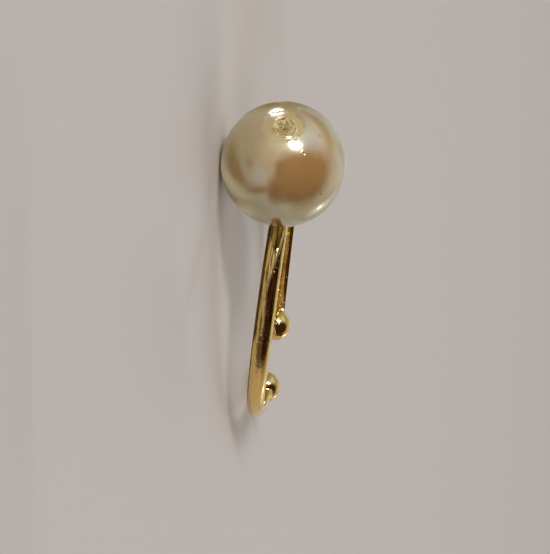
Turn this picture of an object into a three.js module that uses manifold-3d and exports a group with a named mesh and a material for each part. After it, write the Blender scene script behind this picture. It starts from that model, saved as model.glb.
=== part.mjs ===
// An open pearl ring: a gold band with a ball on each end, and a drilled bead glued on a peg.
// Everything is in millimetres.
//
// The ring is made in a frame of its own: x across the finger, y from the gap up to the bead,
// z along the finger. It is then laid on its side, so that it rests on the bead and both balls.

import * as THREE from "three";
import { mergeVertices } from "three/addons/utils/BufferGeometryUtils.js";
import Module from "manifold-3d";

const wasm = await Module();
wasm.setup();

// Band
const innerDiameter = 16.5;
const bandThickness = 0.85;
const bandWidth = 1.22; // under the bead
const endWidth = 1.12; // by the balls
const crownRise = 0.5; // the domed outer face above its edges
const edgeBevel = 0.08; // the broken edges of the flat inner face
const gapHalfAngle = 18.4; // degrees, from the middle of the gap to each ball
const ballDiameter = 2.2;
const armTurn = 10; // degrees, how far the crown turns over halfway down each arm
const armTurnEnd = 120; // degrees from the bead, where the crown stands straight again
const ballShift = 0.2; // the free ends are bent a little to one side
const bendStart = 100; // degrees from the bead

// Bead, and the peg that it is glued on
const beadDiameter = 8;
const drillDiameter = 0.8;
const mouthDiameter = 1.5; // where the drill chipped the bead's outer end
const mouthDepth = 0.16;
const pegDiameter = 0.66;
const pegBelowMouth = 0.45;
const seatGap = 0.04; // between the bead and the band
const leanAcross = 5; // degrees, how far the peg stands off upright
const leanAlong = 2;

// Fineness
const bandSteps = 72;
const crownSteps = 8;
const beadSteps = 48;
const beadRows = 26;
const ballSteps = 24;
const pegSides = 16;

const innerRadius = innerDiameter / 2;
const outerRadius = innerRadius + bandThickness;
const middleRadius = innerRadius + bandThickness / 2;
const beadRadius = beadDiameter / 2;
const ballRadius = ballDiameter / 2;
const drillRadius = drillDiameter / 2;
const mouthRadius = mouthDiameter / 2;
const rad = THREE.MathUtils.degToRad;

const gold = new THREE.MeshStandardMaterial({
  color: new THREE.Color(0.83, 0.66, 0.34),
  roughness: 0.14,
  metalness: 1,
});
const pearl = new THREE.MeshStandardMaterial({
  color: new THREE.Color(0.79, 0.74, 0.63),
  roughness: 0.22,
  metalness: 0.1,
});

// A closed geometry as a solid that can be joined and cut.
function toSolid(geometry) {
  const bare = geometry.clone();
  bare.deleteAttribute("normal");
  bare.deleteAttribute("uv");
  const merged = mergeVertices(bare, 1e-5);
  return new wasm.Manifold(
    new wasm.Mesh({
      numProp: 3,
      vertProperties: new Float32Array(merged.attributes.position.array),
      triVerts: new Uint32Array(merged.index.array),
    }),
  );
}

function toGeometry(solid) {
  const { vertProperties, triVerts } = solid.getMesh();
  const geometry = new THREE.BufferGeometry();
  geometry.setAttribute("position", new THREE.BufferAttribute(vertProperties, 3));
  geometry.setIndex(new THREE.BufferAttribute(triVerts, 1));
  geometry.computeVertexNormals();
  return geometry;
}

// The band's section as (radius, height): flat inside, straight flanks, domed outside.
function bandSection() {
  const half = bandWidth / 2;
  const shoulder = outerRadius - crownRise;
  const points = [
    new THREE.Vector2(innerRadius, -half + edgeBevel),
    new THREE.Vector2(innerRadius + edgeBevel, -half),
  ];
  for (let i = 0; i <= crownSteps; i++) {
    const turn = Math.PI * (i / crownSteps - 0.5);
    points.push(new THREE.Vector2(shoulder + crownRise * Math.cos(turn), half * Math.sin(turn)));
  }
  points.push(new THREE.Vector2(innerRadius + edgeBevel, half));
  points.push(new THREE.Vector2(innerRadius, half - edgeBevel));
  points.push(points[0].clone());
  return points;
}

// The arms aren't quite true: at so many degrees from the bead, the section's width as a share
// of its width under the bead, the turn of its crown and its shift along z.
function armShape(degrees) {
  const { lerp, smoothstep, clamp } = THREE.MathUtils;
  const turned = Math.sin(rad(180 * Math.min(degrees / armTurnEnd, 1))) ** 2;
  const bent = clamp((degrees - bendStart) / (180 - gapHalfAngle - bendStart), 0, 1);
  return {
    width: lerp(1, endWidth / bandWidth, smoothstep(degrees, armTurnEnd / 2, armTurnEnd)),
    turn: rad(armTurn) * turned,
    shift: ballShift * bent ** 2,
  };
}

// Each vertex of the hoop moves with its section.
function shapeArms(geometry) {
  const position = geometry.attributes.position;
  for (let i = 0; i < position.count; i++) {
    const point = new THREE.Vector3().fromBufferAttribute(position, i);
    const spoke = new THREE.Vector3(point.x, point.y, 0).normalize();
    const { width, turn, shift } = armShape(THREE.MathUtils.radToDeg(Math.acos(spoke.y)));
    const inSection = new THREE.Vector2(point.dot(spoke) - middleRadius, point.z * width);
    inSection.rotateAround(new THREE.Vector2(), -turn);
    spoke.multiplyScalar(middleRadius + inSection.x);
    position.setXYZ(i, spoke.x, spoke.y, inSection.y + shift);
  }
  return geometry;
}

// A full hoop about z, turned half a step so that a flat facet faces the finger under the bead.
function hoop() {
  const halfStep = Math.PI / bandSteps;
  const turned = new THREE.LatheGeometry(bandSection(), bandSteps, halfStep);
  return toSolid(shapeArms(turned.rotateX(Math.PI / 2)));
}

// The wedge that opens the hoop opposite the bead.
function gapWedge() {
  const reach = 2 * outerRadius;
  const spread = reach * Math.tan(rad(gapHalfAngle));
  const outline = new THREE.Shape([
    new THREE.Vector2(0, 0),
    new THREE.Vector2(-spread, -reach),
    new THREE.Vector2(spread, -reach),
  ]);
  const wedge = new THREE.ExtrudeGeometry(outline, { depth: 2 * bandWidth, bevelEnabled: false });
  return toSolid(wedge.translate(0, 0, -bandWidth));
}

function endBall(side) {
  const turn = side * rad(gapHalfAngle);
  const ball = new THREE.SphereGeometry(ballRadius, ballSteps, ballSteps / 2);
  ball.translate(middleRadius * Math.sin(turn), -middleRadius * Math.cos(turn), ballShift);
  return toSolid(ball);
}

// The peg's foot is in the band, and its tip is a little below the bead's mouth.
function peg(lean) {
  const foot = -bandThickness / 2;
  const tip = seatGap + beadDiameter - pegBelowMouth;
  const post = new THREE.CylinderGeometry(pegDiameter / 2, pegDiameter / 2, tip - foot, pegSides);
  post.translate(0, (tip + foot) / 2, 0);
  return toSolid(post.applyMatrix4(lean));
}

// The band, its balls and the peg are soldered: one solid.
function ringShank(lean) {
  const solid = hoop()
    .subtract(gapWedge())
    .add(endBall(-1))
    .add(endBall(1))
    .add(peg(lean));
  const mesh = new THREE.Mesh(toGeometry(solid), gold);
  mesh.name = "ring_shank";
  return mesh;
}

// A ball drilled right through along y, with a shallow dished mouth at its outer end.
function pearlBead() {
  const from = -Math.acos(drillRadius / beadRadius);
  const to = Math.acos(mouthRadius / beadRadius);
  const profile = [];
  for (let i = 0; i <= beadRows; i++) {
    const turn = THREE.MathUtils.lerp(from, to, i / beadRows);
    profile.push(new THREE.Vector2(beadRadius * Math.cos(turn), beadRadius * Math.sin(turn)));
  }
  const rim = profile.at(-1);
  profile.push(new THREE.Vector2(drillRadius, rim.y - mouthDepth));
  profile.push(profile[0].clone());
  const turned = new THREE.LatheGeometry(profile, beadSteps);
  const mesh = new THREE.Mesh(toGeometry(toSolid(turned)), pearl);
  mesh.name = "pearl_bead";
  mesh.position.y = seatGap + beadRadius;
  return mesh;
}

// The frame that the peg and the bead stand in: its origin is on top of the band.
const stem = new THREE.Group();
stem.position.y = outerRadius;
stem.rotation.set(rad(-leanAlong), 0, rad(leanAcross));
stem.updateMatrix();
stem.add(pearlBead());

const ring = new THREE.Group();
ring.add(ringShank(stem.matrix), stem);

// Laid on its side, the bead's end rises until the bead and the balls touch the ground together.
ring.updateMatrixWorld(true);
const beadCentre = stem.children[0].getWorldPosition(new THREE.Vector3());
const reach = beadCentre.y + middleRadius * Math.cos(rad(gapHalfAngle));
const drop = ballShift - beadCentre.z;
const slope = (beadRadius - ballRadius) / Math.hypot(reach, drop);
ring.rotation.x = Math.asin(slope) + Math.atan2(drop, reach);

// The origin is under the middle of the part, on the ground.
const part = new THREE.Group();
part.add(ring);
part.updateMatrixWorld(true);
const box = new THREE.Box3().setFromObject(part, true);
const middle = box.getCenter(new THREE.Vector3());
ring.position.set(-middle.x, -middle.y, -box.min.z);

export default part;
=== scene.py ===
import math

import bmesh
import bpy
from mathutils import Matrix, Vector, noise


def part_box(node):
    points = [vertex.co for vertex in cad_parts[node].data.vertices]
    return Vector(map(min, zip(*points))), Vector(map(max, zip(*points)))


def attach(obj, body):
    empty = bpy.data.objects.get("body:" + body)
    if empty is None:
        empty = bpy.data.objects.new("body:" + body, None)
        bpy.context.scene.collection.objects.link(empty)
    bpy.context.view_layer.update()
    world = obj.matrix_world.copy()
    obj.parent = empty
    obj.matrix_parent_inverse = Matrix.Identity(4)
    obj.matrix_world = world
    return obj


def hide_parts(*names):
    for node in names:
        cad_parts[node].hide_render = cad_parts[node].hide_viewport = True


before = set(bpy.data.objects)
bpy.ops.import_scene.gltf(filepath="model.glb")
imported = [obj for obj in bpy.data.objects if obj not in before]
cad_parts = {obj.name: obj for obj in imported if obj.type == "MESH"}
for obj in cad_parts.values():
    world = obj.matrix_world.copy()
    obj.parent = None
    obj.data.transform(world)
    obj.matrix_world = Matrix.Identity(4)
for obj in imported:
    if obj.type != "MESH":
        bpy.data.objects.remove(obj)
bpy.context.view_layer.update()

millimetre = 0.001
rad = math.radians


# The ring's own frame: x across the finger, y from the gap to the bead, z along the finger.

ringSizes = {
    "insideRadius": 8.25,
    "outsideRadius": 9.1,
    "gapHalfAngle": 18.4,  # degrees, from the middle of the gap to a ball
    "ballRadius": 1.1,
    "ballShift": 0.2,  # the free ends are bent a little to one side
    "beadRadius": 4.0,
    "seatGap": 0.04,  # glue between the bead and the band
    "leanAcross": 5.0,  # the peg's lean, in degrees
    "leanAlong": 2.0,
}


def placeRing(sizes):
    middle = (sizes["insideRadius"] + sizes["outsideRadius"]) / 2
    stem = Matrix.Translation((0, sizes["outsideRadius"], 0))
    stem @= Matrix.Rotation(rad(-sizes["leanAlong"]), 4, "X")
    stem @= Matrix.Rotation(rad(sizes["leanAcross"]), 4, "Z")
    bead = stem @ Vector((0, sizes["seatGap"] + sizes["beadRadius"], 0))
    # it rests on the bead and on both balls
    reach = bead.y + middle * math.cos(rad(sizes["gapHalfAngle"]))
    drop = sizes["ballShift"] - bead.z
    slope = (sizes["beadRadius"] - sizes["ballRadius"]) / math.hypot(reach, drop)
    tilt = Matrix.Rotation(math.asin(slope) + math.atan2(drop, reach), 4, "X")
    low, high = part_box("pearl_bead")
    origin = (low + high) / 2 / millimetre - tilt @ bead
    ring = Matrix.Translation(origin) @ tilt
    return ring, ring @ stem


ringFrame, stemFrame = placeRing(ringSizes)
beadMiddle = stemFrame @ Vector((0, ringSizes["seatGap"] + ringSizes["beadRadius"], 0)) * millimetre


def finishPiece(name, bm, place, nodeName, material):
    # place turns the piece's own millimetres into the part's frame
    bmesh.ops.transform(bm, matrix=Matrix.Scale(millimetre, 4) @ place, verts=bm.verts)
    bmesh.ops.recalc_face_normals(bm, faces=bm.faces)
    mesh = bpy.data.meshes.new(name)
    bm.to_mesh(mesh)
    bm.free()
    mesh.polygons.foreach_set("use_smooth", [True] * len(mesh.polygons))
    mesh.materials.append(material)
    piece = bpy.data.objects.new(name, mesh)
    bpy.context.scene.collection.objects.link(piece)
    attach(piece, "root")
    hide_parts(nodeName)
    print(name, "has", len(mesh.polygons), "faces")
    return piece


class Wire:
    # one output of a node tree, so that sums on it can be written as they are read
    def __init__(self, tree, socket=None):
        self.tree = tree
        self.socket = socket

    def node(self, kind, settings={}, values={}, output=0):
        made = self.tree.nodes.new("ShaderNode" + kind)
        for name, value in settings.items():
            setattr(made, name, value)
        for name, value in values.items():
            if isinstance(value, Wire):
                self.tree.links.new(value.socket, made.inputs[name])
            else:
                made.inputs[name].default_value = value
        return Wire(self.tree, made.outputs[output] if made.outputs else None)

    def sum(self, operation, first, second):
        return self.node("Math", {"operation": operation}, {0: first, 1: second})

    def __add__(self, other):
        return self.sum("ADD", self, other)

    def __radd__(self, other):
        return self.sum("ADD", other, self)

    def __sub__(self, other):
        return self.sum("SUBTRACT", self, other)

    def __rsub__(self, other):
        return self.sum("SUBTRACT", other, self)

    def __mul__(self, other):
        return self.sum("MULTIPLY", self, other)

    def __rmul__(self, other):
        return self.sum("MULTIPLY", other, self)

    def __pow__(self, other):
        return self.sum("POWER", self, other)

    def larger(self, other):
        return self.sum("MAXIMUM", self, other)

    def step(self, start, end):
        # 0 at start and 1 at end, smoothly
        return self.node("MapRange", {"interpolation_type": "SMOOTHSTEP"},
                         {"Value": self, "From Min": start, "From Max": end})

    def mix(self, mask, other):
        # this colour where mask is 0, the other one where it is 1
        return blend(self, mask, self, other)

    def axes(self, place):
        split = self.node("SeparateXYZ", {}, {"Vector": place}).socket.node
        return [Wire(self.tree, split.outputs[i]) for i in range(3)]


def blend(tree, mask, first, second):
    # the first colour where mask is 0, the second where it is 1
    return tree.node("Mix", {"data_type": "RGBA"}, {0: mask, 6: first, 7: second}, 2)


def newTree(block):
    block.use_nodes = True
    block.node_tree.nodes.clear()
    return Wire(block.node_tree)


def partPlace(tree, place):
    # Object coordinates in millimetres, in the frame that place stands for
    here = tree.node("TexCoord", output="Object")
    return tree.node("Mapping", {"vector_type": "TEXTURE"}, {
        "Vector": here,
        "Location": place.to_translation() * millimetre,
        "Rotation": place.to_euler(),
        "Scale": (millimetre,) * 3,
    })


# polished gold plating
gold = {
    "colour": (0.85, 0.61, 0.22, 1),
    "wornColour": (0.72, 0.45, 0.15, 1),
    # also the colour of the painted dark reflection along the lower edge and the painted shade round the seat
    "dirtAndShadeColour": (0.03, 0.013, 0.005, 1),
    "stainColour": (0.14, 0.055, 0.012, 1),
    "roughness": 0.045,
    "grooveRadius": 8.5,  # mm from the ring's axis, outside which the deep marks hold dirt
    "rippleScale": 1.6,  # noise scales are per mm
    "rippleHeight": 0.0012,  # mm
    "streakScale": 8.0,  # polishing marks, which run along the band
    "streakHeight": 0.011,
    "streakEnd": 66.0,  # degrees from the bead
    "grooveDirt": 0.75,  # the share of dirt in the deep marks
    "fineScale": 26.0,
    "fineHeight": 0.0006,
    "wearScale": 3.1,
    "mottleScale": 6.0,
    "pitScale": 5.0,
    "pitDepth": 0.008,
    "speckScale": 1.7,
    "speckRadius": (0.06, 0.1),  # in cells of the speck pattern
    "edgeShadeStart": (0.47, 0.56),  # mm below the band's middle, where the painted dark reflection along the lower edge starts
    "seatShadeReach": (0.75, 1.5),  # mm from the bead's seat, where its painted shade thins out and ends
    "stainTurn": 65.5,  # degrees from the bead, a brown stain on the crown of one arm
    "stainLength": 1.8,  # mm
    "stainWidth": 0.3,
    # degrees from the bead, mm across the crown, radius in mm
    "stainPits": [(73.5, -0.04, 0.07), (76.3, -0.1, 0.045), (70.5, 0.05, 0.05)],
}


def goldMaterial(settings):
    material = bpy.data.materials.new("polished_gold")
    tree = newTree(material)
    place = partPlace(tree, ringFrame)
    x, y, z = tree.axes(place)
    turn = tree.sum("ARCTAN2", x, y)
    along = tree.node("CombineXYZ", {}, {"X": turn * 0.5, "Y": 0.37, "Z": z})  # 18 times as long as wide
    ripple = tree.node("TexNoise", {}, {"Vector": place, "Scale": settings["rippleScale"], "Detail": 3.0})
    streak = tree.node("TexNoise", {}, {
        "Vector": along, "Scale": settings["streakScale"], "Detail": 3.0, "Roughness": 0.6})
    fine = tree.node("TexNoise", {}, {"Vector": along, "Scale": settings["fineScale"], "Detail": 2.0})
    wear = tree.node("TexNoise", {}, {
        "Vector": place, "Scale": settings["wearScale"], "Detail": 5.0, "Roughness": 0.65})
    mottle = tree.node("TexNoise", {}, {
        "Vector": place, "Scale": settings["mottleScale"], "Detail": 4.0, "Roughness": 0.7})
    pit = tree.node("TexVoronoi", {}, {"Vector": place, "Scale": settings["pitScale"]}, "Distance")
    speck = tree.node("TexVoronoi", {}, {"Vector": place, "Scale": settings["speckScale"]}, "Distance")

    worn = wear.step(0.5, 0.72)
    nearBead = 1 - ((turn * turn) ** 0.5).step(rad(settings["streakEnd"] - 10), rad(settings["streakEnd"]))
    # painted dark reflection along the lower edge, and painted shade round the bead's seat
    edge = (nearBead * 0.12 - z + (wear - 0.5) * 0.12).step(*settings["edgeShadeStart"]) * 0.9
    fromSeat = (x * x + (y - ringSizes["outsideRadius"]) ** 2) ** 0.5
    # painted shade between the band and the bead
    seatShade = 1 - (fromSeat + (wear - 0.5) * 0.8).step(*settings["seatShadeReach"])
    # real dirt in the specks and stain pits, with the painted shade and dark reflection of the edge and seat
    # masks
    dirtAndShade = edge.larger(seatShade * 0.7).larger((1 - speck.step(*settings["speckRadius"])) * 0.8)
    stainPlace = (turn + rad(settings["stainTurn"])) * (ringSizes["outsideRadius"] / settings["stainLength"])
    fromStain = (stainPlace ** 2 + (z * (1 / settings["stainWidth"])) ** 2) ** 0.5
    stain = 1 - (fromStain + (mottle - 0.5) * 2.2).step(0.45, 1.15)
    for degrees, across, radius in settings["stainPits"]:
        fromPit = (((turn + rad(degrees)) * ringSizes["outsideRadius"]) ** 2 + (z - across) ** 2) ** 0.5
        dirtAndShade = dirtAndShade.larger(1 - fromPit.step(radius * 0.6, radius * 1.2))
    outside = ((x * x + y * y) ** 0.5).step(settings["grooveRadius"], settings["grooveRadius"] + 0.2)
    groove = streak.step(0.50, 0.56) * nearBead * outside

    colour = blend(tree, worn * 0.4, settings["colour"], settings["wornColour"])
    colour = colour.mix(groove * settings["grooveDirt"], settings["dirtAndShadeColour"])
    colour = colour.mix(stain * 0.9, settings["stainColour"])
    roughness = settings["roughness"] + worn * 0.05 + stain * 0.15
    height = ripple * settings["rippleHeight"] + fine * settings["fineHeight"]
    height = height + streak * (nearBead * 0.7 + 0.3) * settings["streakHeight"]
    height = height - (1 - pit.step(0.06, 0.2)) * settings["pitDepth"]
    bump = tree.node("Bump", {}, {"Height": height, "Distance": millimetre, "Strength": 1.0})
    polished = tree.node("BsdfPrincipled", {}, {
        "Base Color": colour,
        "Roughness": roughness,
        "Metallic": 1.0,
        "Normal": bump,
    })
    # a dull shader for the dirt and for the painted shade and dark reflection
    dullDirtAndShade = tree.node("BsdfPrincipled", {}, {
        "Base Color": settings["dirtAndShadeColour"],
        "Roughness": 0.8,
        "IOR": 1.1,
    })
    shader = tree.node("MixShader", {}, {0: dirtAndShade, 1: polished, 2: dullDirtAndShade})
    tree.node("OutputMaterial", {}, {"Surface": shader})
    return material


# pearl lacquer over a plastic bead, worn to a yellow wax round the mouth of the hole
pearl = {
    "oliveColour": (0.38, 0.22, 0.07, 1),
    "amberReflectionColour": (0.56, 0.33, 0.12, 1),  # painted reflection: the body turns warmer on the side given next, where the dark part of the room is mirrored
    "amberReflectionSide": (-0.55, 0.62, 0.56),
    "waxColour": (0.54, 0.43, 0.17, 1),
    "chipColour": (0.60, 0.50, 0.24, 1),
    # painted shade deep in the dish
    "sunkShadeColour": (0.36, 0.27, 0.10, 1),
    "glueColour": (0.42, 0.20, 0.012, 1),
    "shadeAndTearColour": (0.17, 0.09, 0.025, 1),
    "lustre": 4.4,  # the lacquer's refractive index stands for its pearly flakes
    "lustreTint": (0.84, 0.96, 0.76, 1),
    "roughness": 0.18,
    "coatRoughness": 0.03,
    "depth": 0.0022,  # how far light soaks in, in metres
    "bareIndex": 1.45,  # the refractive index where the lacquer is gone
    "cloudScale": 0.7,  # noise scales are per mm
    "mottleScale": 1.4,
    "grainScale": 14.0,
    "grainHeight": 0.0006,  # mm
    "dishEdge": (0.66, 0.8),  # mm from the hole's axis
    "creaseRadius": 0.69,
    "sunkShadeFrom": (0.1, 0.22),  # mm below the plain ball, where the wax is painted darker with depth as painted shade
    "glueFrom": (0.24, 0.34),  # and where it turns to glue
    "waxTurn": -44.0,  # the wax lies a little to this side of the hole, in degrees round it from +x
    "waxShift": 0.18,  # mm
    "waxRadius": 1.32,
}


def waxMiddle(settings):
    turn = rad(settings["waxTurn"])
    return settings["waxShift"] * math.cos(turn), settings["waxShift"] * math.sin(turn)


def pearlMaterial(settings):
    material = bpy.data.materials.new("pearl_lacquer")
    tree = newTree(material)
    place = partPlace(tree, stemFrame)
    amberReflectionWay = Vector(settings["amberReflectionSide"]).normalized() / (ringSizes["beadRadius"] * millimetre)
    x, y, z = tree.axes(place)
    fromAxis = (x * x + z * z) ** 0.5
    outer = y.step(5, 6)  # only the outer end
    cloud = tree.node("TexNoise", {}, {"Vector": place, "Scale": settings["cloudScale"], "Detail": 4.0})
    mottle = tree.node("TexNoise", {}, {"Vector": place, "Scale": settings["mottleScale"], "Detail": 4.0})
    grain = tree.node("TexNoise", {}, {"Vector": place, "Scale": settings["grainScale"], "Detail": 3.0})
    waxX, waxZ = waxMiddle(settings)
    fromWax = ((x - waxX) ** 2 + (z - waxZ) ** 2) ** 0.5
    fromWax = fromWax + (mottle - 0.5) * 0.5 - settings["waxRadius"]
    wax = (1 - fromWax.step(-0.2, 0.15)) * outer * (z.step(-1.2, 0.8) * 0.6 + 0.4)
    dish = (1 - fromAxis.step(*settings["dishEdge"])) * outer
    fromCentre = (fromAxis * fromAxis + (y - ringSizes["seatGap"] - ringSizes["beadRadius"]) ** 2) ** 0.5
    sunk = ringSizes["beadRadius"] - fromCentre + (grain - 0.5) * 0.05  # mm below the plain ball
    here = tree.node("TexCoord", output="Object")
    side = tree.node("VectorMath", {"operation": "DOT_PRODUCT"},
                     {0: tree.node("VectorMath", {"operation": "SUBTRACT"}, {0: here, 1: beadMiddle}),
                      1: amberReflectionWay}, "Value")
    # painted reflection: the warm patch on the side where the dark room is mirrored
    amberReflection = (side + (cloud - 0.5) * 0.5).step(0.55, 1.0)
    body = blend(tree, amberReflection, settings["oliveColour"], settings["amberReflectionColour"])
    waxy = blend(tree, dish, settings["waxColour"], settings["chipColour"])
    # painted shade: the dish darker the deeper it lies
    waxy = waxy.mix(sunk.step(*settings["sunkShadeFrom"]) * dish, settings["sunkShadeColour"])
    waxy = waxy.mix(sunk.step(*settings["glueFrom"]) * dish, settings["glueColour"])
    # painted shade in the crease under the lip, and a dark line along the torn edge of the lacquer
    creaseShade = 1 - ((fromAxis - settings["creaseRadius"]) ** 2).step(0.0005, 0.004)
    creaseShade = creaseShade * mottle.step(0.49, 0.57)
    tear = (1 - (fromWax ** 2).step(0.001, 0.006)) * grain.step(0.5, 0.6)
    waxy = waxy.mix(creaseShade.larger(tear * 0.8) * outer, settings["shadeAndTearColour"])
    roughness = settings["roughness"] + (mottle - 0.5) * 0.12
    bump = tree.node("Bump", {}, {
        "Height": grain * settings["grainHeight"], "Distance": millimetre, "Strength": 1.0})
    coat = {
        "Coat Roughness": settings["coatRoughness"],
        "Coat IOR": 1.5,
        "Subsurface Scale": settings["depth"],
        "Normal": bump,
    }
    lacquer = tree.node("BsdfPrincipled", {}, {
        "Base Color": body,
        "Roughness": roughness,
        "IOR": settings["lustre"],
        "Specular Tint": settings["lustreTint"],
        "Subsurface Weight": 0.7,
        "Coat Weight": 1.0,
    } | coat)
    bare = tree.node("BsdfPrincipled", {}, {
        "Base Color": waxy,
        "Roughness": roughness + dish * 0.2,
        "IOR": settings["bareIndex"],
        "Subsurface Weight": 0.1,
        "Coat Weight": 1 - dish * 0.65,
    } | coat)
    bareness = (wax * 0.7).larger(dish).larger(tear * 0.8 * outer)
    shader = tree.node("MixShader", {}, {0: bareness, 1: lacquer, 2: bare})
    tree.node("OutputMaterial", {}, {"Surface": shader})
    return material


goldPaint = goldMaterial(gold)
pearlPaint = pearlMaterial(pearl)
print("materials made")


# the band with its two balls
band = {
    "width": 1.22,  # under the bead
    "endWidth": 1.12,  # by the balls
    "crownRise": 0.5,  # the domed outer face above its edges
    "domePower": 2.15,  # 2 is a half ellipse, more is squarer
    "innerPower": 6.0,
    "armTurn": 10.0,  # degrees, how far the crown turns over halfway down each arm
    "armTurnEnd": 120.0,  # degrees from the bead, where the crown stands straight again
    "bendStart": 100.0,
    "sectionPoints": 72,
    "bandSteps": 320,
    "ballStep": 0.2,  # degrees
    "ballZone": 11.5,  # degrees on the band's side of a ball that get the fine steps
    "pastBall": 5.8,  # degrees that the wire runs on inside the ball
    "fillet": 0.24,  # solder between the ball and the band
}


def smooth(share):
    # from 0 to 1 with soft ends
    share = min(max(share, 0), 1)
    return share * share * (3 - 2 * share)


def smoothMax(a, b, width):
    near = max(width - abs(a - b), 0) / width
    return max(a, b) + near * near * width / 4


def signedPower(value, power):
    return math.copysign(abs(value) ** power, value)


def bandSection(bm, sizes, settings):
    # a unit circle pulled into the section: domed outside, nearly flat inside
    made = bmesh.ops.create_circle(bm, segments=settings["sectionPoints"], radius=1)
    shoulder = sizes["outsideRadius"] - settings["crownRise"]
    for vert in made["verts"]:
        out, side = vert.co.x, vert.co.y
        if out > 0:
            power, depth = 2 / settings["domePower"], settings["crownRise"]
        else:
            power, depth = 2 / settings["innerPower"], shoulder - sizes["insideRadius"]
        vert.co = Vector((
            0,
            shoulder + depth * signedPower(out, power),
            settings["width"] / 2 * signedPower(side, power),
        ))
    return made["verts"]


def armShape(degrees, sizes, settings):
    # so far from the bead: the share of the width, the crown's turn and the shift along z
    turned = math.sin(rad(180 * min(degrees / settings["armTurnEnd"], 1))) ** 2
    taper = smooth(2 * degrees / settings["armTurnEnd"] - 1)
    bent = (degrees - settings["bendStart"]) / (180 - sizes["gapHalfAngle"] - settings["bendStart"])
    bent = min(max(bent, 0), 1)
    share = 1 + (settings["endWidth"] / settings["width"] - 1) * taper
    return share, rad(settings["armTurn"]) * turned, sizes["ballShift"] * bent ** 2


def shapeArms(bm, sizes, settings):
    middle = (sizes["insideRadius"] + sizes["outsideRadius"]) / 2
    for vert in bm.verts:
        spoke = Vector((vert.co.x, vert.co.y, 0)).normalized()
        share, turn, shift = armShape(math.degrees(math.acos(spoke.y)), sizes, settings)
        inSection = Vector((vert.co.dot(spoke) - middle, vert.co.z * share))
        inSection.rotate(Matrix.Rotation(-turn, 2))
        vert.co = spoke * (middle + inSection.x) + Vector((0, 0, inSection.y + shift))


def shankMesh(sizes, settings):
    bm = bmesh.new()
    toBall = 180 - sizes["gapHalfAngle"]
    start = toBall + settings["pastBall"]
    fine = settings["pastBall"] + settings["ballZone"]
    section = bandSection(bm, sizes, settings)
    axis = Vector((0, 0, 1))
    bmesh.ops.rotate(bm, verts=section, cent=(0, 0, 0), matrix=Matrix.Rotation(rad(-start), 3, "Z"))
    first = list(bm.edges)
    last = first
    fineSteps = round(fine / settings["ballStep"])
    for turn, steps in ((fine, fineSteps), (2 * (start - fine), settings["bandSteps"]), (fine, fineSteps)):
        made = bmesh.ops.spin(bm, geom=last, cent=(0, 0, 0), axis=axis, angle=rad(turn), steps=steps)
        last = [item for item in made["geom_last"] if isinstance(item, bmesh.types.BMEdge)]
    for ring in (first, last):
        closeEnd(bm, ring)
    bmesh.ops.remove_doubles(bm, verts=bm.verts, dist=1e-5)
    shapeArms(bm, sizes, settings)
    pushBalls(bm, sizes, settings)
    return bm


def closeEnd(bm, ring):
    # rings of faces towards the middle, then one small face
    for size in (0.8, 0.75, 0.66, 0.5):
        made = bmesh.ops.extrude_edge_only(bm, edges=ring)
        verts = [item for item in made["geom"] if isinstance(item, bmesh.types.BMVert)]
        ring = [item for item in made["geom"] if isinstance(item, bmesh.types.BMEdge)
                and item.verts[0] in verts and item.verts[1] in verts]
        middle = sum((vert.co for vert in verts), Vector()) / len(verts)
        bmesh.ops.scale(bm, vec=(size,) * 3, space=Matrix.Translation(-middle), verts=verts)
    face = bmesh.ops.edgeloop_fill(bm, edges=ring)["faces"]
    bmesh.ops.poke(bm, faces=face)


def pushBalls(bm, sizes, settings):
    # what lies inside a ball moves out to its surface, with a fillet of solder round it
    middle = (sizes["insideRadius"] + sizes["outsideRadius"]) / 2
    radius = sizes["ballRadius"]
    for side in (-1, 1):
        turn = side * rad(sizes["gapHalfAngle"])
        centre = Vector((middle * math.sin(turn), -middle * math.cos(turn), sizes["ballShift"]))
        for vert in bm.verts:
            away = vert.co - centre
            if away.length < radius + settings["fillet"]:
                away.length = smoothMax(away.length, radius, settings["fillet"])
                vert.co = centre + away


pieces = [finishPiece("shank", shankMesh(ringSizes, band), ringFrame, "ring_shank", goldPaint)]


# the peg, which shows only at the bottom of the bead's hole
peg = {
    "radius": 0.33,
    "foot": -0.4,  # below the top of the band
    "belowMouth": 0.62,
    "sides": 48,
    "tipBevel": 0.09,
}


def pegMesh(sizes, settings):
    bm = bmesh.new()
    tip = sizes["seatGap"] + 2 * sizes["beadRadius"] - settings["belowMouth"]
    height = tip - settings["foot"]
    stand = Matrix.Translation((0, settings["foot"] + height / 2, 0)) @ Matrix.Rotation(rad(-90), 4, "X")
    bmesh.ops.create_cone(bm, cap_ends=True, segments=settings["sides"], radius1=settings["radius"],
                          radius2=settings["radius"], depth=height, matrix=stand)
    rim = [edge for edge in bm.edges if all(vert.co.y > tip - 0.01 for vert in edge.verts)]
    bmesh.ops.bevel(bm, geom=rim, offset=settings["tipBevel"], segments=4, profile=0.5,
                    affect="EDGES", material=-1)
    return bm


pieces.append(finishPiece("peg", pegMesh(ringSizes, peg), stemFrame, "ring_shank", goldPaint))


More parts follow.
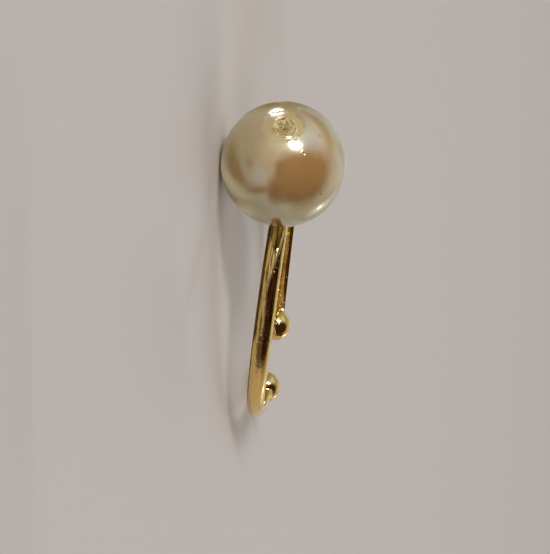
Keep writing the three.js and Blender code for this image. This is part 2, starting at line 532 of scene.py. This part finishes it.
# the bead
bead = {
    "holeRadius": 0.4,
    "neckRadius": 0.07,  # where lacquer and glue have run into the hole's mouth
    "wallDepth": 0.09,  # the dish's steep rim
    "neckDepth": 0.28,
    "dishRadius": 0.7,
    "lipRadius": 0.76,
    "rippleRadii": (1.08, 0.92),
    "chipSize": 0.23,
    "chipStep": 0.26,
    "chipSeed": 5,  # for the tilts of the flakes, which would otherwise differ from run to run
    "around": 256,
    "rowStep": 1.6,  # degrees between the rows of the plain ball
    "mouthRadius": 1.75,  # the worked zone round the hole
    "mouthRow": 0.025,
    "holeRows": 12,
    "pits": [  # degrees from the hole, degrees round it from +x, radius and depth in mm
        {"down": 30.3, "turn": 136, "radius": 0.085, "depth": 0.055},
        {"down": 34.2, "turn": 87, "radius": 0.065, "depth": 0.055},
        {"down": 40.2, "turn": 124, "radius": 0.05, "depth": -0.015},
        {"down": 23.5, "turn": -111, "radius": 0.04, "depth": -0.008},
        {"down": 73.8, "turn": 135, "radius": 0.08, "depth": 0.05},
        {"down": 66.4, "turn": 153, "radius": 0.05, "depth": 0.02},
        {"down": 30.6, "turn": 20, "radius": 0.045, "depth": -0.03},
    ],
}


def hill(distance, width):
    # 1 at the top, smoothly down to nothing
    return math.exp(-(distance / width) ** 2)


def rumple(x, z, scale, seed):
    return noise.fractal(Vector((x * scale, z * scale, seed)), 1.0, 2.0, 3)


def chipHeight(x, z, settings):
    # flakes of lacquer, each at its own height and with a tilt of its own
    spot = Vector((x, z, 0.3)) / settings["chipSize"]
    distances, centres = noise.voronoi(spot)
    tilt = noise.noise_vector(centres[0] * 3.7) * 0.35
    step = noise.noise(centres[0] * 5.3) + tilt.dot(spot - centres[0])
    return settings["chipStep"] * step * min((distances[1] - distances[0]) * 5, 1)


def mouthHeight(x, z, settings):
    # how far the lacquer stands above the plain ball here, in mm, round the drill's axis
    radius, turn = math.hypot(x, z), math.atan2(z, x)
    around = Vector((math.cos(turn), math.sin(turn), 0))
    wobble = 0.07 * noise.noise(around * 1.3 + Vector((0, 0, 5.1)))
    ragged = noise.noise(around * 3 + Vector((0, 0, 2.7))) * min(radius / settings["dishRadius"], 1)
    torn = noise.noise(around * 7 + Vector((0, 0, 4.4)))
    waxX, waxZ = waxMiddle(pearl)
    fromWax = math.hypot(x - waxX, z - waxZ)
    crisp = math.cos(turn - rad(pearl["waxTurn"])) ** 2
    worn = -0.022 * smooth((pearl["waxRadius"] + 0.2 * torn * crisp - fromWax) / (0.45 - 0.33 * crisp))
    outerRipple, innerRipple = settings["rippleRadii"]
    ripples = 0.010 * hill(radius - outerRipple - wobble, 0.05) * max(0.3 + ragged, 0)
    ripples += 0.006 * hill(radius - innerRipple + wobble, 0.04) * max(0.2 - ragged, 0)
    lip = (0.02 + 0.06 * ragged) * hill(radius - settings["lipRadius"] - wobble, 0.06)
    share = min(radius / settings["dishRadius"], 1)  # the raggedness fades towards the hole's axis
    inside = settings["dishRadius"] + (wobble + torn * 0.05) * share - radius
    wall = -(settings["wallDepth"] + 0.06 * ragged) * smooth(inside / 0.07)
    dish = (settings["wallDepth"] - settings["neckDepth"]) * min(max(inside / 0.6, 0), 1) ** 1.4
    chips = chipHeight(x, z, settings) + 0.02 * rumple(x, z, 5.0, 4.5)
    lumps = 0.006 * rumple(x, z, 1.6, 8.5) * smooth((1.7 - radius) / 0.3)
    height = worn + ripples + lip + wall + dish + chips * smooth(inside / 0.12) + lumps
    return max(height, -settings["neckDepth"] - 0.12)


def beadMesh(sizes, settings):
    noise.seed_set(settings["chipSeed"])
    bm = bmesh.new()
    radius = sizes["beadRadius"]
    hole, neck = settings["holeRadius"], settings["neckRadius"]
    foot = -math.sqrt(radius ** 2 - hole ** 2)
    outline = []
    for row in range(settings["holeRows"]):
        share = row / settings["holeRows"]
        outline.append((hole, foot + (2 * radius - 0.6) * (1 - (1 - share) ** 1.6)))
    for turn in (30, 60, 90):  # the neck's underside
        outline.append((hole - (hole - neck) * (1 - math.cos(rad(turn))),
                        radius - settings["neckDepth"] - 0.32 + 0.12 * math.sin(rad(turn))))
    row = neck
    while row < settings["mouthRadius"]:
        outline.append((row, math.sqrt(radius ** 2 - row ** 2)))
        row += settings["mouthRow"]
    start = math.degrees(math.asin(row / radius))
    end = 180 - math.degrees(math.asin(hole / radius))
    rows = round((end - start) / settings["rowStep"])
    for i in range(rows):
        turn = rad(start + (end - start) * i / rows)
        outline.append((radius * math.sin(turn), radius * math.cos(turn)))
    verts = [bm.verts.new((out, up, 0)) for out, up in outline]
    for i, vert in enumerate(verts):
        bm.edges.new((vert, verts[i - 1]))
    bmesh.ops.spin(bm, geom=bm.verts[:] + bm.edges[:], cent=(0, 0, 0), axis=(0, 1, 0),
                   angle=rad(360), steps=settings["around"], use_merge=True)
    for vert in bm.verts:
        out = math.hypot(vert.co.x, vert.co.z)
        onBall = abs(vert.co.length - radius) < 1e-4
        if vert.co.y > 0 and onBall and out < settings["mouthRadius"]:
            vert.co.y += mouthHeight(vert.co.x, vert.co.z, settings)
    for pit in settings["pits"]:
        makePit(bm, radius, pit)
    bmesh.ops.translate(bm, verts=bm.verts, vec=(0, sizes["seatGap"] + radius, 0))
    return bm


def makePit(bm, radius, pit):
    # finer faces here, back on the ball, then pushed in with a low rim round them
    down, turn = rad(pit["down"]), rad(pit["turn"])
    centre = Vector((math.sin(down) * math.cos(turn), math.cos(down), math.sin(down) * math.sin(turn)))
    centre *= radius
    reach = 2.5 * pit["radius"] + 0.1
    near = [edge for edge in bm.edges if all((vert.co - centre).length < reach for vert in edge.verts)]
    made = bmesh.ops.subdivide_edges(bm, edges=near, cuts=4, use_grid_fill=True)
    for vert in {item for item in made["geom_inner"] if isinstance(item, bmesh.types.BMVert)}:
        vert.co.length = radius
    for vert in bm.verts:
        away = (vert.co - centre).length
        if away < reach:
            wave = hill(away, pit["radius"]) - 0.25 * hill(away - 1.5 * pit["radius"], 0.4 * pit["radius"])
            vert.co.length -= pit["depth"] * wave


pieces.append(finishPiece("bead", beadMesh(ringSizes, bead), stemFrame, "pearl_bead", pearlPaint))
print("pieces made")


floorSettings = {"size": 5.0, "colour": (0.70, 0.645, 0.61, 1)}


def makeFloor(settings):
    bm = bmesh.new()
    bmesh.ops.create_grid(bm, x_segments=1, y_segments=1, size=settings["size"] / 2)
    mesh = bpy.data.meshes.new("floor")
    bm.to_mesh(mesh)
    bm.free()
    material = bpy.data.materials.new("floor")
    tree = newTree(material)
    shader = tree.node("BsdfPrincipled", {}, {"Base Color": settings["colour"], "Roughness": 0.7})
    tree.node("OutputMaterial", {}, {"Surface": shader})
    mesh.materials.append(material)
    floor = bpy.data.objects.new("floor", mesh)
    bpy.context.scene.collection.objects.link(floor)


makeFloor(floorSettings)


def towards(side, height):
    # a direction from its angle round the part, from +X, and its angle above the floor
    return Vector((math.cos(rad(height)) * math.cos(rad(side)),
                   math.cos(rad(height)) * math.sin(rad(side)),
                   math.sin(rad(height))))


# The room that the polished surfaces mirror: pale all round, with soft oval zones in it, which are
# placed and sized in degrees.
room = {
    "pale": (0.70, 0.69, 0.67, 1),
    "cloudColour": (0.82, 0.81, 0.79, 1),
    "cloudScale": 2.6,
    "backdrop": (0.50, 0.46, 0.43, 1),
    "zones": [
        {"side": 66, "height": 50, "wide": 44, "tall": 38, "soft": 0.5, "colour": (0.64, 0.76, 1.0, 1)},
        {"side": 45, "height": 8, "wide": 70, "tall": 36, "soft": 0.5, "colour": (0.30, 0.30, 0.30, 1)},
        {"side": -20, "height": 22, "wide": 44, "tall": 60, "soft": 0.5, "colour": (0.56, 0.62, 0.61, 1)},
        {"side": -112, "height": 20, "wide": 80, "tall": 62, "soft": 0.5, "colour": (0.50, 0.45, 0.38, 1)},
        {"side": -87, "height": 25, "wide": 23, "tall": 16, "soft": 1.0, "colour": (1.4, 1.3, 1.14, 1)},
        {"side": 1, "height": 36, "wide": 20, "tall": 60, "soft": 0.6, "colour": (0.33, 0.32, 0.27, 1)},
        {"side": 162, "height": 40, "wide": 98, "tall": 126, "soft": 0.2, "colour": (0.045, 0.021, 0.013, 1)},
    ],
}


def makeRoom(settings):
    world = bpy.data.worlds.new("room")
    bpy.context.scene.world = world
    tree = newTree(world)
    direction = tree.node("TexCoord", output="Generated")
    colour = tree.node("RGB")
    colour.socket.default_value = settings["pale"]
    for zone in settings["zones"]:
        front = towards(zone["side"], zone["height"])
        up = towards(zone["side"], zone["height"] + 90)
        across, along, ahead = (
            tree.node("VectorMath", {"operation": "DOT_PRODUCT"}, {0: direction, 1: axis}, "Value")
            for axis in (up.cross(front) / math.sin(rad(zone["wide"] / 2)),
                         up / math.sin(rad(zone["tall"] / 2)), front))
        edge = (across * across + along * along) ** 0.5
        mask = (1 - edge.step(1 - zone["soft"], 1 + zone["soft"])) * ahead.step(0, 0.05)
        colour = colour.mix(mask, zone["colour"])
    cloud = tree.node("TexNoise", {}, {"Vector": direction, "Scale": settings["cloudScale"], "Detail": 3.0})
    colour = tree.node("Mix", {"data_type": "RGBA", "blend_type": "MULTIPLY"},
                       {0: cloud.step(0.42, 0.66), 6: colour, 7: settings["cloudColour"]}, 2)
    seen = tree.node("LightPath", output="Is Camera Ray")
    colour = colour.mix(seen, settings["backdrop"])
    shader = tree.node("Background", {}, {"Color": colour, "Strength": 1.0})
    tree.node("OutputWorld", {}, {"Surface": shader})


makeRoom(room)


# Soft oval cards that are only mirrored, in mm and degrees. The first three stand round the ring and carry
# the room's zones down past the horizon, and the others lie just above the floor as painted reflections: the
# dark ones paint shade and the pale ones paint light onto the floor as the ring and bead mirror it.
cards = {
    "nearCard": {"side": 174, "away": 15, "height": 4.2, "lean": 10, "wide": 21, "tall": 16,
                 "colour": (0.045, 0.021, 0.013, 1)},
    "farCard": {"side": 142, "away": 45, "height": 4, "lean": 0, "wide": 42, "tall": 20,
                "colour": (0.045, 0.021, 0.013, 1)},
    "behindCard": {"side": -8, "away": 24, "height": 1, "lean": 0, "wide": 50, "tall": 20,
                   "colour": (0.27, 0.25, 0.18, 1)},
    "behindFloor": {"side": 0, "away": 16, "height": 0.05, "lean": 90, "wide": 18, "tall": 30,
                    "colour": (0.20, 0.18, 0.12, 1)},
    "floorStreak": {"side": 173, "away": 10, "height": 0.07, "lean": 90, "wide": 3.4, "tall": 15,
                    "colour": (0.15, 0.10, 0.05, 1)},
    "floorCrescent": {"side": 144, "away": 3.1, "height": 0.06, "lean": 90, "turn": 55,
                      "wide": 2.5, "tall": 7.4, "colour": (0.22, 0.165, 0.095, 1)},
    "floorSpot": {"side": 132, "away": 5.4, "height": 0.08, "lean": 90, "wide": 2, "tall": 2,
                  "colour": (0.21, 0.20, 0.15, 1)},
    "floorPatch": {"side": 150, "away": 10, "height": 0.05, "lean": 90, "wide": 7, "tall": 12,
                   "colour": (0.48, 0.50, 0.55, 1)},
    "floorGlow": {"side": 232, "away": 5.6, "height": 0.04, "lean": 90, "wide": 7.5, "tall": 6,
                  "colour": (0.55, 0.48, 0.37, 1)},
    "rimGlow": {"side": 178, "away": 3.4, "height": 0.05, "lean": 90, "turn": 20,
                "wide": 3.4, "tall": 8.5, "colour": (0.62, 0.53, 0.41, 1)},
}


def cardMaterial(colour):
    material = bpy.data.materials.new("soft_card")
    tree = newTree(material)
    # full in the middle, gone at the edge
    x, y, z = tree.axes(tree.node("TexCoord", output="Object"))
    fade = ((x * x + y * y) ** 0.5).step(0.1, 0.5)
    shader = tree.node("MixShader", {}, {
        0: fade,
        1: tree.node("Emission", {}, {"Color": colour}),
        2: tree.node("BsdfTransparent"),
    })
    tree.node("OutputMaterial", {}, {"Surface": shader})
    return material


def makeCard(name, settings, centre):
    bm = bmesh.new()
    bmesh.ops.create_grid(bm, x_segments=1, y_segments=1, size=0.5)
    mesh = bpy.data.meshes.new(name)
    bm.to_mesh(mesh)
    bm.free()
    mesh.materials.append(cardMaterial(settings["colour"]))
    card = bpy.data.objects.new(name, mesh)
    card.location = centre + towards(settings["side"], 0) * settings["away"] * millimetre
    card.location.z = settings["height"] * millimetre
    turn = settings["side"] - 90 + settings.get("turn", 0)
    card.rotation_euler = (rad(90 - settings["lean"]), 0, rad(turn))
    card.scale = (settings["wide"] * millimetre, settings["tall"] * millimetre, 1)
    card.visible_camera = card.visible_diffuse = card.visible_shadow = False
    bpy.context.scene.collection.objects.link(card)


for name, settings in cards.items():
    makeCard(name, settings, beadMiddle)
print("room and cards made")


# Where each light stands as seen from the bead, and how large and bright it looks from there, in
# degrees, with "away" in mm. The fills aren't mirrored, and the near one is only mirrored and leaves
# the floor alone.
softboxes = {
    "main": {"side": 90, "height": 24, "away": 3000, "wide": 13, "tall": 22, "glow": 23,
             "spread": 180, "colour": (1, 0.98, 0.95), "mirrored": True, "lights": True},
    "fill": {"side": 150, "height": 22, "away": 3000, "wide": 60, "tall": 36, "glow": 1.2,
             "spread": 180, "colour": (1, 0.98, 0.95), "mirrored": False, "lights": True},
    "lowFill": {"side": -80, "height": 35, "away": 3000, "wide": 70, "tall": 40, "glow": 0.7,
                "spread": 180, "colour": (1, 0.98, 0.95), "mirrored": False, "lights": True},
    "low": {"side": -91, "height": 27, "away": 3000, "wide": 5, "tall": 5, "glow": 5,
            "spread": 180, "colour": (1, 0.96, 0.9), "mirrored": True, "lights": True},
    "near": {"side": 35, "height": -11, "away": 12.4, "wide": 18, "tall": 14.4, "glow": 10,
             "spread": 100, "colour": (1, 0.98, 0.96), "mirrored": True, "lights": False},
}


def makeSoftbox(name, settings, centre):
    away = settings["away"] * millimetre
    light = bpy.data.lights.new(name, "AREA")
    light.shape = "ELLIPSE"
    light.size = 2 * away * math.tan(rad(settings["wide"] / 2))
    light.size_y = 2 * away * math.tan(rad(settings["tall"] / 2))
    light.spread = rad(settings["spread"])
    focus = 1 - light.spread / 2 / math.tan(light.spread / 2)  # a narrow spread is brighter ahead
    light.energy = settings["glow"] * focus * math.pi * light.size * light.size_y * math.pi / 4
    light.color = settings["colour"]
    lamp = bpy.data.objects.new(name, light)
    back = towards(settings["side"], settings["height"])
    lamp.location = centre + back * away
    lamp.rotation_mode = "QUATERNION"
    lamp.rotation_quaternion = back.to_track_quat("Z", "Y")
    lamp.visible_camera = False
    lamp.visible_glossy = settings["mirrored"]
    lamp.visible_diffuse = settings["lights"]
    bpy.context.scene.collection.objects.link(lamp)
    if not settings["lights"]:
        lit = bpy.data.collections.new("lit_by_" + name)
        for piece in pieces:
            lit.objects.link(piece)
        lamp.light_linking.receiver_collection = lit


for name, settings in softboxes.items():
    makeSoftbox(name, settings, beadMiddle)


cameraSettings = {
    "height": 52.3,  # degrees above the band's back edge, in the ring's frame
    "turn": 3.5,  # towards the ring's upper side
    "roll": 5.5,
    "distance": 151.7,  # mm from the ring's middle
    "lens": 144.1,
    "aimRight": -0.006,  # mm, where it aims from the ring's middle
    "aimUp": 0.56,
}


def makeCamera(settings):
    height, turn = rad(settings["height"]), rad(settings["turn"])
    back = Vector((-math.cos(height) * math.cos(turn), math.sin(height), math.cos(height) * math.sin(turn)))
    right = Vector((math.sin(turn), 0, math.cos(turn)))
    up = back.cross(right)
    aim = right * settings["aimRight"] + up * settings["aimUp"]
    stand = Matrix((right, up, back)).transposed().to_4x4()
    stand = Matrix.Translation(aim + back * settings["distance"]) @ stand
    stand = ringFrame @ stand @ Matrix.Rotation(rad(settings["roll"]), 4, "Z")
    camera = bpy.data.cameras.new("camera")
    camera.lens = settings["lens"]
    camera.clip_start, camera.clip_end = 0.005, 10
    holder = bpy.data.objects.new("camera", camera)
    holder.rotation_mode = "QUATERNION"
    holder.location = stand.to_translation() * millimetre
    holder.rotation_quaternion = stand.to_quaternion()
    bpy.context.scene.collection.objects.link(holder)
    bpy.context.scene.camera = holder


makeCamera(cameraSettings)
bpy.context.scene.view_settings.view_transform = "Standard"
print("light and camera made")
